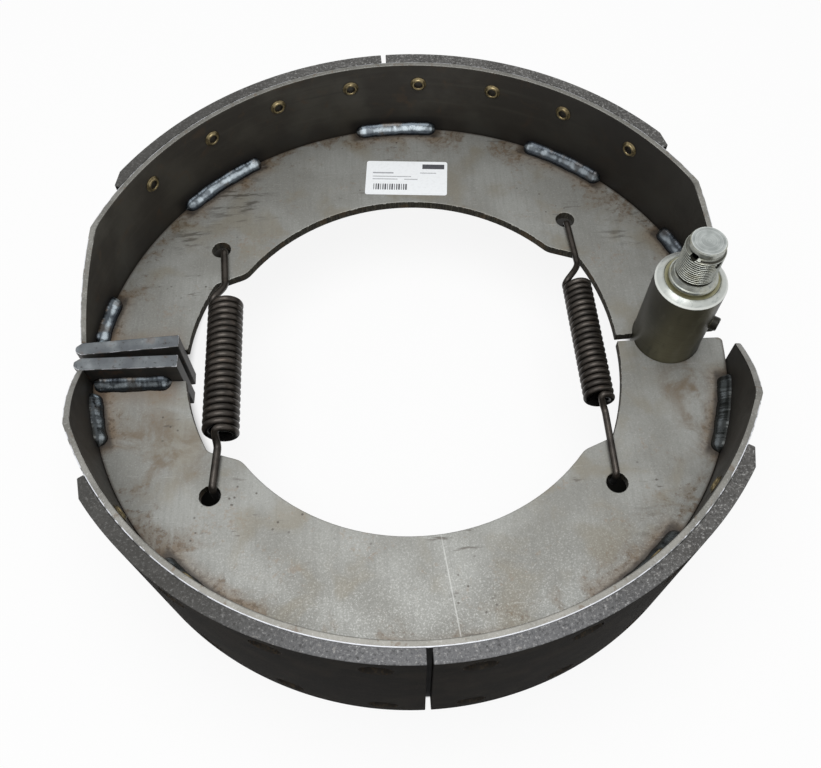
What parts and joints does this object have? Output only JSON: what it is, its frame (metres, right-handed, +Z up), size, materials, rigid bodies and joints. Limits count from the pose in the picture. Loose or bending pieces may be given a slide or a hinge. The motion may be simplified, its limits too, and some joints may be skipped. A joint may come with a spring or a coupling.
{
  "type": "drum brake shoe pair",
  "caption": "Pair of riveted drum brake shoes with linings, linked by return springs round a threaded anchor pin.",
  "frame": {"origin": "on the drum's axis, at the lower edges of the rims, where the pair lies on a flat surface", "axes": "+Z up along the drum's axis, +X from the drum's axis to the anchor pin, +Y towards the upper shoe in the picture"},
  "size_m": [0.3856, 0.3908, 0.1546],
  "materials": {
    "web_steel": "bare mild steel plate, grey, faint rust film",
    "rim_steel": "dark hot-rolled steel with mill scale",
    "lining": "moulded friction material, turned",
    "rivet_brass": "tubular brass, rolled over",
    "pad_steel": "blue-grey bar steel",
    "weld_metal": "silver weld beads",
    "pin_steel": "turned steel, zinc plated at the stud end",
    "nipple_steel": "zinc plated steel",
    "spring_steel": "dark oiled spring wire",
    "label_paper": "white paper with printed bars"
  },
  "bodies": {
    "lower_shoe": {"lower_web": "web_steel", "lower_rim": "rim_steel", "lower_pin_lining": "lining", "lower_cam_lining": "lining", "lower_rivets": "rivet_brass", "lower_cam_pad": "pad_steel", "lower_rim_welds": "weld_metal", "lower_pad_welds": "weld_metal", "left_return_spring": "spring_steel", "right_return_spring": "spring_steel"},
    "upper_shoe": {"upper_web": "web_steel", "upper_rim": "rim_steel", "upper_pin_lining": "lining", "upper_cam_lining": "lining", "upper_rivets": "rivet_brass", "upper_cam_pad": "pad_steel", "upper_rim_welds": "weld_metal", "upper_pad_welds": "weld_metal", "paper_label": "label_paper"},
    "anchor_pin": {"anchor_pin": "pin_steel", "grease_nipple": "nipple_steel"}
  },
  "joints": [
    {"name": "shoe_spread", "type": "hinge", "parent": "lower_shoe", "child": "upper_shoe", "pos_m": [0.15558, 0, 0.063], "axis": [0, 0, -1], "range_deg": [0, 7], "stiffness_Nm_per_rad": 60, "springref_deg": -5.73, "deforming": ["left_return_spring", "right_return_spring"]},
    {"name": "pin_turn", "type": "hinge", "parent": "lower_shoe", "child": "anchor_pin", "pos_m": [0.15558, 0, 0.063], "axis": [0, 0, -1], "range_deg": [0, 3.5]}
  ],
  "couplings": [
    {"joint": "pin_turn", "follows": "shoe_spread", "ratio": 0.5}
  ]
}
